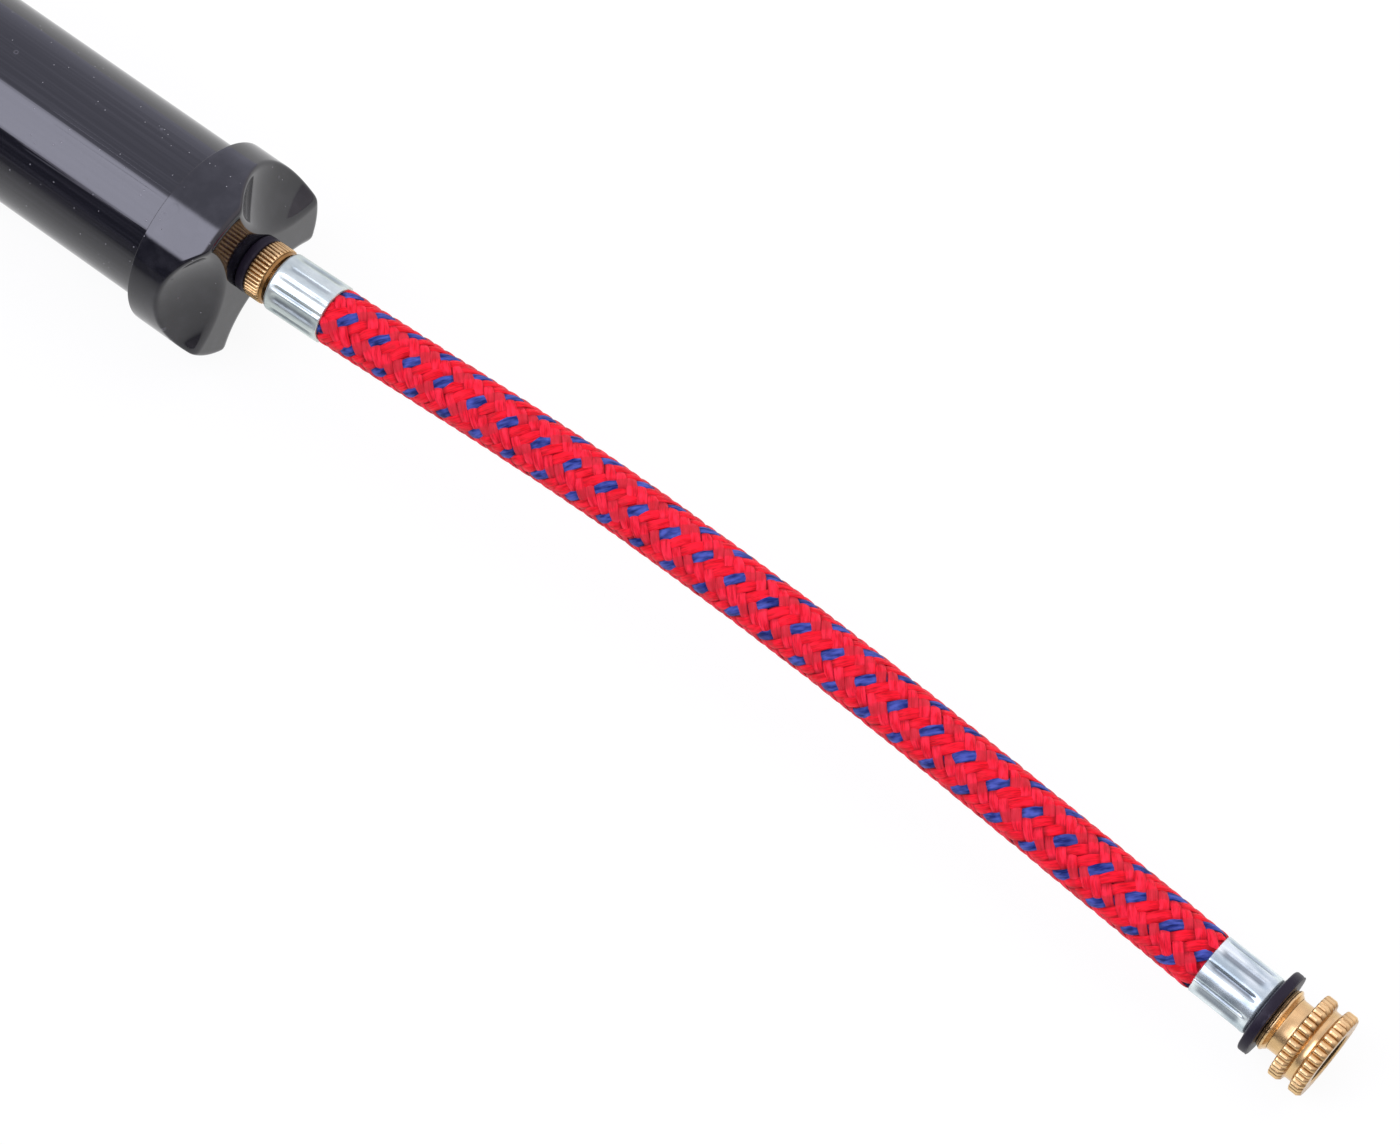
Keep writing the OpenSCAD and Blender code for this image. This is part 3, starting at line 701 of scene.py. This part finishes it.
def make_valve_nut():
    """The double-knurled nut with its threaded mouth, which turns on the nipple."""
    start = 12.55 * MM
    neck, disc, groove = 2 * MM, 1.9 * MM, 1.4 * MM
    disc_r, groove_r, neck_r = 6.4 * MM, 5.4 * MM, 4 * MM
    edge, bevel = 0.25 * MM, 0.45 * MM
    end = start + neck + 2 * disc + groove

    def disc_profile(at):
        shape = [(at, disc_r - edge), (at + 0.4 * edge, disc_r - 0.3 * edge)]
        shape += [(at + edge + (disc - edge - bevel) * i / 6, disc_r) for i in range(7)]
        return shape + [(at + disc - 0.03 * MM, disc_r - 0.7 * bevel), (at + disc, disc_r - 0.8 * bevel)]

    first, second = start + neck, start + neck + disc + groove
    profile = [(start, SHANK_R + 0.05 * MM), (start, neck_r), (start + 0.15 * MM, neck_r)]
    profile += [(start + 0.3 * MM, neck_r - 0.05 * MM), (first - 0.6 * MM, neck_r - 0.05 * MM)]
    profile += arc((first - 0.4 * MM, neck_r + 0.35 * MM), 0.4 * MM, 260, 350)
    profile += disc_profile(first)
    profile += [(first + disc + 0.15 * MM, groove_r + 0.15 * MM), (first + disc + 0.35 * MM, groove_r)]
    profile += [(second - 0.3 * MM, groove_r), (second - 0.1 * MM, groove_r + 0.15 * MM)]
    profile += disc_profile(second)
    profile += [(end, 4.0 * MM), (end - 0.15 * MM, 3.85 * MM)]
    bore_ring = len(profile) - 1
    pitch, turns = 0.79 * MM, 3
    for i in range(turns):
        at = end - 0.2 * MM - i * pitch
        profile += [(at - 0.2 * MM, 3.85 * MM), (at - 0.4 * MM, 3.5 * MM), (at - 0.6 * MM, 3.85 * MM)]
    profile += [(end - 3 * MM, 3.5 * MM), (start + neck, 3.5 * MM)]

    teeth, depth = 34, 0.42 * MM

    def cut(x, r, angle):
        wave = 0.5 + 0.5 * np.cos(teeth * angle)
        valley = 1 - wave**0.4
        on_disc = np.clip((r - (disc_r - 1.2 * bevel)) / (0.8 * bevel), 0, 1)
        uneven = 1 + 0.2 * wobble(angle, x, 300, 1.5)
        return x, r - depth * valley * on_disc * uneven

    def stain(x, r):
        radii = [3.9 * MM, 4.1 * MM, 5.3 * MM, 5.5 * MM, 5.7 * MM, 6 * MM, disc_r - 0.04 * MM]
        value = np.interp(r, radii, [0.2, 0.15, 0.15, 0.2, 1.0, 0.8, 0.0])
        return np.where(x > end - 0.05 * MM, 0.6, value)

    count = teeth * 14
    made = lathe("knurled_valve_nut", profile, END_PLACE, count, cut, 45, stain)
    made.data.materials.append(MATERIALS["brass"])
    made.data.materials.append(BORE_SHADE_BRASS)
    # The bore and its threads get the near-black brass: painted shade inside the nut
    slots = np.zeros(len(made.data.polygons), np.int32)
    slots[bore_ring * count:] = 1
    made.data.polygons.foreach_set("material_index", slots)
    return finish_piece(made, "valve_nut", "brass", "valve_nut")


# ---------- the braided hose ----------

# Yarns each way, and how far along the hose a yarn goes once round
STRANDS = 12
LAY = 21.6 * MM
# Where the rows of blue flecks lie round the hose, and how far they turn by its far end
ROW_ANGLE = math.radians(111.5)
ROW_TWIST = math.radians(-7)
BLUE_START = math.radians(168)
# How far the braid runs on inside each ferrule, and its radius there
HIDDEN = 1.2 * MM
SQUEEZED_R = 3.9 * MM


def heading(yaw, droop):
    """The direction of a yaw and a droop."""
    return Vector((
        math.cos(droop) * math.cos(yaw), math.cos(droop) * math.sin(yaw), -math.sin(droop)
    ))


def hose_line():
    """Smooth points along the hose's route, and each one's distance from the start."""
    steps_per_mm, lead, smoothings = 2, 6 * MM, 60
    knots = [Vector(ROUTE[0]) - lead * heading(TAIL_LEAN, TAIL_DROOP)]
    knots += [Vector(p) for p in ROUTE]
    knots.append(Vector(ROUTE[-1]) + lead * heading(END_YAW, END_DROOP))
    knots = np.array([tuple(k) for k in knots])
    at = np.concatenate([[0], np.cumsum(np.linalg.norm(np.diff(knots, axis=0), axis=1))])
    slope = np.gradient(knots, at, axis=0)
    t = np.linspace(0, at[-1], int(at[-1] / MM * steps_per_mm))
    # A cubic between each two knots, which keeps its slope from one to the next
    i = np.clip(np.searchsorted(at, t, "right") - 1, 0, len(at) - 2)
    h = (at[i + 1] - at[i])[:, None]
    u = ((t - at[i]) / h[:, 0])[:, None]
    line = (
        (2 * u**3 - 3 * u**2 + 1) * knots[i] + (u**3 - 2 * u**2 + u) * h * slope[i]
        + (3 * u**2 - 2 * u**3) * knots[i + 1] + (u**3 - u**2) * h * slope[i + 1]
    )
    for _ in range(smoothings):
        line[1:-1] = 0.25 * line[:-2] + 0.5 * line[1:-1] + 0.25 * line[2:]
    run = np.concatenate([[0], np.cumsum(np.linalg.norm(np.diff(line, axis=0), axis=1))])
    return line, run


LINE, RUN = hose_line()
MOUTH = RUN[np.argmin(np.linalg.norm(LINE - np.array(ROUTE[0]), axis=1))]
END_MOUTH = RUN[np.argmin(np.linalg.norm(LINE - np.array(ROUTE[-1]), axis=1))]
FREE = END_MOUTH - MOUTH


def hose_points(z, angle, radius):
    """Points at a distance along the hose, an angle round it and a radius."""
    centre = np.stack([np.interp(z, RUN, LINE[:, k]) for k in range(3)], -1)
    way = np.gradient(LINE, RUN, axis=0)
    way = np.stack([np.interp(z, RUN, way[:, k]) for k in range(3)], -1)
    way /= np.linalg.norm(way, axis=-1, keepdims=True)
    side = np.cross(np.array([0.0, 0, 1]), way)
    side /= np.linalg.norm(side, axis=-1, keepdims=True)
    up = np.cross(way, side)
    out = np.cos(angle)[..., None] * side + np.sin(angle)[..., None] * up
    return centre + radius[..., None] * out


def hose_radius(z):
    """Outer radius of the braid: squeezed in the ferrules and fuller towards the far end."""
    u = (z - MOUTH) / FREE
    free = (4.2 + 0.06 * u + 0.16 * np.clip((u - 0.3) / 0.7, 0, 1) ** 1.5) * MM
    inside = np.maximum(MOUTH - z, z - END_MOUTH)
    squeeze = np.clip((inside + 0.5 * MM) / (0.6 * MM), 0, 1)
    return free - squeeze * (free - SQUEEZED_R)


def lay_angle(z):
    """How far a yarn has turned round the hose at a distance along it; the lay slackens."""
    u = (z - MOUTH) / FREE
    return 2 * math.pi * ((z - MOUTH) / LAY - 0.045 * u * u * FREE / LAY)


def make_strand(index, way):
    """One yarn of the braid, over two crossing yarns and under two. Gives points, faces, UVs and shades."""
    points_round, step = 18, 0.2 * MM
    rng = np.random.default_rng(SEED + 100 * index + (way > 0))
    begin, end = MOUTH - HIDDEN, END_MOUTH + HIDDEN
    z = np.arange(begin, end, step)
    gap = 2 * math.pi / STRANDS
    starts = (BLUE_START, 2 * ROW_ANGLE - BLUE_START - 0.5 * gap)
    start, other = starts if way < 0 else starts[::-1]
    angle = start + way * lay_angle(z) + ROW_TWIST * (z - MOUTH) / FREE + gap * index
    drift = sum(
        np.sin(z / (wave * MM) + rng.uniform(0, 6)) * size
        for wave, size in ((6.0, 0.09), (2.1, 0.05))
    )
    angle = angle + drift * gap
    outer = hose_radius(z)
    yarn_r, plain_lay = 4 * MM, 22 * MM
    slope = way * 2 * math.pi * yarn_r / plain_lay
    along, round_ = 1 / math.hypot(1, slope), slope / math.hypot(1, slope)
    width = (1.6 + 0.1 * np.sin(z / (1.1 * MM) + rng.uniform(0, 6))) * MM
    around = np.linspace(0, 2 * math.pi, points_round, endpoint=False)
    across = np.sign(np.cos(around)) * np.abs(np.cos(around)) ** 0.9
    a = 0.5 * width[:, None] * across[None, :]
    zz = z[:, None] - a * round_
    aa = angle[:, None] + a * along / outer[:, None]
    # Where each point is among the crossing yarns, from -2 to 2, and so whether it lies over them
    crossing = aa - ROW_TWIST * (zz - MOUTH) / FREE + way * lay_angle(zz) - other
    place = (crossing / gap + index - 0.5 + 2) % 4 - 2
    over = -way * (1 - np.abs(place))
    ease = 0.35 * np.sin(z / (1.7 * MM) + rng.uniform(0, 6)) + rng.uniform(-0.15, 0.2)
    lift = np.tanh(1.7 * over + ease[:, None]) / math.tanh(1.7)
    middle = outer[:, None] - 0.24 * MM + 0.12 * MM * lift
    thick = 0.15 * MM * np.sin(around)[None, :] - 0.05 * MM * across[None, :] ** 2
    points = hose_points(zz, aa, middle + thick)
    uv_along = (z - begin) / MM / along + 40 * index
    v = np.broadcast_to(0.5 + 0.5 * across[None, :] + index * 1.7, a.shape)
    uvs = np.stack([np.broadcast_to(uv_along[:, None], a.shape), v], -1).reshape(-1, 2)
    # A yarn of the other family looks duller where it passes over a blue one
    from_blue = np.abs((crossing / gap + 1.5) % 3 - 1.5)
    dulled = 0.6 * np.clip((0.6 - from_blue) / 0.15, 0, 1) * (lift > 0) * (way > 0)
    # The edges of a yarn and its low stretches get painted shade, for the crevices between the yarns
    sunk = np.maximum((0.8 * (np.abs(across) - 0.78) / 0.22)[None, :], (0.35 - lift) / 0.9)
    quads = grid_faces(len(z), len(around))
    return points.reshape(-1, 3), quads, uvs, dulled.ravel(), sunk.clip(0, 1).ravel()


def make_braid():
    """The hose's braid: 12 yarns each way over a dark core, every third of one family blue."""
    points, faces, uvs, slots, dulled, sunk = [], [], [], [], [], []
    red, pale, blue, core = range(4)
    total = 0
    for way in (-1, 1):
        for index in range(STRANDS):
            strand, quads, uv, dull, low = make_strand(index, way)
            dulled.append(dull)
            sunk.append(low)
            # The family that runs the other way gets the lighter, pinker red: painted sheen
            slot = pale if way > 0 else (red if index % 3 else blue)
            points.append(strand)
            uvs.append(uv)
            faces += [tuple(total + k for k in q) for q in quads]
            slots += [slot] * len(quads)
            total += len(strand)
    z = np.arange(MOUTH - HIDDEN, END_MOUTH + HIDDEN, 1 * MM)
    angle = np.linspace(0, 2 * math.pi, 48, endpoint=False)
    zz, aa = np.meshgrid(z, angle, indexing="ij")
    tube = hose_points(zz, aa, hose_radius(zz) - 0.5 * MM).reshape(-1, 3)
    faces += [tuple(total + k for k in q) for q in grid_faces(len(z), len(angle))]
    slots += [core] * (len(faces) - len(slots))
    points.append(tube)
    uvs.append(np.zeros((len(tube), 2)))
    dulled.append(np.zeros(len(tube)))
    sunk.append(np.ones(len(tube)))
    made = mesh_object(
        "braided_hose", np.concatenate(points), faces, np.concatenate(uvs), 80,
        dulled=np.concatenate(dulled), sunk=np.concatenate(sunk),
    )
    dark = new_material("braid_core", Base_Color=(0.2, 0.002, 0.01, 1), Roughness=0.8)[0]
    for material in (MATERIALS["braid"], SHEEN_LIT_RED, BLUE, dark):
        made.data.materials.append(material)
    made.data.polygons.foreach_set("material_index", slots)
    return finish_piece(made, "barrel", "braid", "hose_braid")


def make_hose():
    """The hose and its fittings."""
    braid = make_braid()
    stem = make_stem()
    near_washer, far_washer = make_washers()
    base = Vector((WASHER_HIGH.x + STEM_FLANGE + STEM_BEVEL + STEM_GAP, 0, AXIS_Z)) + STEM_SHIFT
    mouth = base + FERRULE_LEN * heading(TAIL_LEAN, TAIL_DROOP)
    tail_place = along_x(mouth, TAIL_LEAN, TAIL_DROOP) @ Matrix.Diagonal((-1, 1, 1, 1))
    near_ferrule = make_ferrule("near_ferrule", tail_place, "pump_ferrule", NEAR_GROOVES)
    far_ferrule = make_ferrule("far_ferrule", END_PLACE, "valve_ferrule", FAR_GROOVES)
    # The far ferrule gets the lit copy of the plating: painted light
    far_ferrule.data.materials[0] = FAR_FERRULE_LIT_ZINC
    collar = make_nipple_collar()
    nut = make_valve_nut()
    picked = (RUN >= MOUTH) & (RUN <= END_MOUTH)
    [tuple(p) for p in LINE[picked]]


# ---------- handle and rod ----------


def make_rod():
    """The steel rod with its rolled thread under the handle's nut."""
    length = ROD_HIGH.x - ROD_LOW.x
    thread = 7 * MM
    pitch = 1 * MM
    profile = [(0, 0.1 * MM), (0, ROD_R - 0.5 * MM)]
    for i in range(int(thread / pitch)):
        profile += [(0.5 * MM + i * pitch, ROD_R), (1 * MM + i * pitch, ROD_R - 0.45 * MM)]
    profile += [(thread + 0.6 * MM, ROD_R)]
    profile += [(thread + (length - 2 * thread) * i / 20, ROD_R) for i in range(1, 21)]
    profile += [(length - 0.5 * MM, ROD_R), (length, ROD_R - 0.5 * MM), (length, 0.1 * MM)]
    made = lathe("drawn_rod", profile, along_x((ROD_LOW.x, 0, AXIS_Z)), 96)
    return finish_piece(made, "plunger", "steel", "piston_rod")


def make_bumper():
    """The rubber ring that the handle lands on."""
    profile = ring_profile(0, BUMPER_HIGH.x - BUMPER_LOW.x, 7.46 * MM, 3.02 * MM, 0.8 * MM)
    made = lathe("landing_ring", profile, along_x((BUMPER_LOW.x, 0, AXIS_Z)), 96)
    return finish_piece(made, "plunger", "rubber", "bumper_ring")


def make_grip():
    """The fluted grip, waisted in front and flared at its end."""
    length = GRIP_HIGH.x - GRIP_LOW.x
    knots = [
        (0, 13.6), (0.8, 13.9), (4, 13.9), (9, 12.6), (18, 12.2), (46, 12.0), (53, 11.6),
        (58, 13.3), (60, 13.3),
    ]
    xs = np.linspace(0, 60 * MM, 90)
    rs = np.interp(xs, [k[0] * MM for k in knots], [k[1] * MM for k in knots])
    for _ in range(3):
        rs[1:-1] = 0.25 * rs[:-2] + 0.5 * rs[1:-1] + 0.25 * rs[2:]
    bore = ROD_R + 0.1 * MM
    profile = [(9 * MM, bore), (9 * MM, 8.2 * MM), (0.3 * MM, 8.2 * MM), (0, 8.5 * MM)]
    profile += [(x, r) for x, r in zip(xs, rs)]
    profile += arc((length - 1 * MM, 12.3 * MM), 1 * MM, 80, 0)
    profile += [(length, 8.2 * MM), (length - 3.2 * MM, 8.2 * MM), (length - 3.2 * MM, bore)]

    def fluted(x, r, angle):
        wave = 0.5 + 0.5 * np.cos(12 * angle)
        run = np.clip((x - 11.5 * MM) / (1.5 * MM), 0, 1) * np.clip((49 * MM - x) / (1.5 * MM), 0, 1)
        run = run * run * (3 - 2 * run)
        return x, r - np.where(r > 9 * MM, 0.75 * MM * run * wave**3, 0)

    made = lathe("fluted_grip", profile, along_x((GRIP_LOW.x, 0, AXIS_Z)), 288, fluted, 45)
    return finish_piece(made, "handle", "barrel_plastic", "handle_grip")


def make_end_cap():
    """The domed plug in the end of the grip, with a shallow ring round its centre."""
    thick = GRIP_LOW.x - END_LOW.x
    dome, edge_r = 42 * MM, GRIP_R - 0.35 * MM
    radii = [0.05 * MM] + [edge_r * i / 30 for i in range(1, 31)]
    profile = [(dome - math.sqrt(dome**2 - r**2), r) for r in radii]
    profile += [(profile[-1][0] + 0.3 * MM, GRIP_R - 0.3 * MM), (thick, GRIP_R - 0.3 * MM)]
    profile += [(thick, 8.15 * MM), (thick + 5.5 * MM, 8.15 * MM), (thick + 5.5 * MM, 6.9 * MM)]
    profile += [(thick - 0.2 * MM, 6.9 * MM), (thick - 0.2 * MM, 0.05 * MM)]

    def ringed(x, r, angle):
        groove = np.exp(-(((r - 8.5 * MM) / (0.45 * MM)) ** 2)) * (x < 1.5 * MM)
        return x + 0.35 * MM * groove, r

    made = lathe("domed_end_cap", profile, along_x((END_LOW.x, 0, AXIS_Z)), 128, ringed)
    return finish_piece(made, "handle", "cap_plastic", "handle_end_cap")


def dress_nodes():
    """Gives each CAD node that stays its procedural material."""
    slots = {s["node"]: s["material_slot"] for s in frame["record"]["subparts"]}
    for name, node in frame["nodes"].items():
        node.data.materials.clear()
        node.data.materials.append(MATERIALS[slots[name]])
        node.data.shade_smooth()
        node.data.set_sharp_from_angle(angle=math.radians(35))


# ---------- studio ----------

# The softbox and the dark gap beside it, round the pump's axis, in degrees from +Y to +Z
SOFTBOX = (100, 150)
DARK_GAP = (150, 190)
SOFTBOX_GLOW, ROOM_GLOW, DARK_GLOW, FLOOR_GLOW = 4.0, 0.8, 0.1, 1.0
COOL = (0.95, 0.95, 1.15, 1)


def studio_stops():
    """The room meets the floor's white at the horizon, and the softbox and the gap are flat."""
    edge = 2
    return [
        (0, FLOOR_GLOW), (30, ROOM_GLOW),
        (SOFTBOX[0] - edge, ROOM_GLOW), (SOFTBOX[0] + edge, SOFTBOX_GLOW),
        (SOFTBOX[1] - edge, SOFTBOX_GLOW), (DARK_GAP[0] + edge, DARK_GLOW),
        (DARK_GAP[1] - edge, DARK_GLOW), (DARK_GAP[1] + edge, ROOM_GLOW),
    ]


def make_studio():
    """A pale studio with a large softbox over the barrel and a dark gap beside it.

    The strips stand towards -X, where the barrel's reflections point in the photograph's view.
    Everywhere else the walls are plain.
    """
    world = bpy.data.worlds.new("soft_studio")
    bpy.context.scene.world = world
    world.use_nodes = True
    tree = world.node_tree
    way = add(tree, "SeparateXYZ", {"Vector": add(tree, "TexCoord").outputs["Generated"]})
    turn = add(tree, "Math", {0: way.outputs["Z"], 1: way.outputs["Y"]}, operation="ARCTAN2")
    turn = remap(tree, turn.outputs[0], -math.pi, math.pi)
    stops = sorted(((a + 180) % 360 / 360, glow) for a, glow in studio_stops())
    strips = add(tree, "Background", {"Color": COOL, "Strength": ramp(tree, turn, stops)})
    high = remap(tree, way.outputs["Z"], -0.1, 0.7, 0.3, 0.9)
    side = remap(tree, way.outputs["Y"], -0.6, 0.6, -0.28, 0.3)
    strength = add(tree, "Math", {0: high, 1: side}).outputs[0]
    walls = add(tree, "Background", {"Color": (1.0, 0.93, 1.02, 1), "Strength": strength})
    rise = remap(tree, way.outputs["X"], -0.85, -0.6)
    fall = remap(tree, way.outputs["X"], 0.2, -0.3)
    part = add(tree, "MixShader", {"Fac": multiply(tree, rise, fall)})
    tree.links.new(walls.outputs[0], part.inputs[1])
    tree.links.new(strips.outputs[0], part.inputs[2])
    white = add(tree, "Background", {"Color": (1, 1, 1, 1), "Strength": 1.0})
    mixed = add(tree, "MixShader", {"Fac": add(tree, "LightPath").outputs["Is Camera Ray"]})
    tree.links.new(part.outputs[0], mixed.inputs[1])
    tree.links.new(white.outputs[0], mixed.inputs[2])
    tree.links.new(mixed.outputs[0], tree.nodes["World Output"].inputs["Surface"])


def make_lamp():
    """A wide soft lamp over the hose's far side, which lights matt things only."""
    light = bpy.data.lights.new("soft_lamp", "AREA")
    light.shape, light.size, light.size_y = "RECTANGLE", 1.2, 0.8
    light.energy, light.color = 3.4, (1.0, 0.98, 0.96)
    made = bpy.data.objects.new("soft_lamp", light)
    bpy.context.scene.collection.objects.link(made)
    made.location = (0.35, 0.55, 0.9)
    aim = Vector((0.22, 0, 0)) - made.location
    made.rotation_euler = aim.to_track_quat("-Z", "Y").to_euler()
    made.visible_glossy = False


def make_floor():
    """A plain white floor, just under the pump."""
    half = 6.0
    corners = [(-half, -half, -1e-5), (half, -half, -1e-5), (half, half, -1e-5), (-half, half, -1e-5)]
    floor = mesh_object("floor", corners, [(0, 1, 2, 3)])
    floor.data.materials.append(FLOOR)


def make_camera():
    """The photograph's view: from above the hose's end, looking back along the pump."""
    camera = bpy.data.cameras.new("camera")
    camera.lens, camera.sensor_width = 143.2, 36
    camera.clip_start, camera.clip_end = 0.05, 20
    made = bpy.data.objects.new("camera", camera)
    bpy.context.scene.collection.objects.link(made)
    bpy.context.scene.camera = made
    made.location = (0.476247, -0.291385, 0.655693)
    forward = Vector((-0.319258, 0.39352, -0.8621))
    made.rotation_euler = forward.to_track_quat("-Z", "Y").to_euler()


# ---------- making it all ----------

make_camera()
make_studio()
make_lamp()
make_floor()
dress_nodes()
make_hose()
make_barrel()
make_caps()
make_rod()
make_bumper()
make_grip()
make_end_cap()

bpy.context.scene.view_settings.view_transform = "Standard"
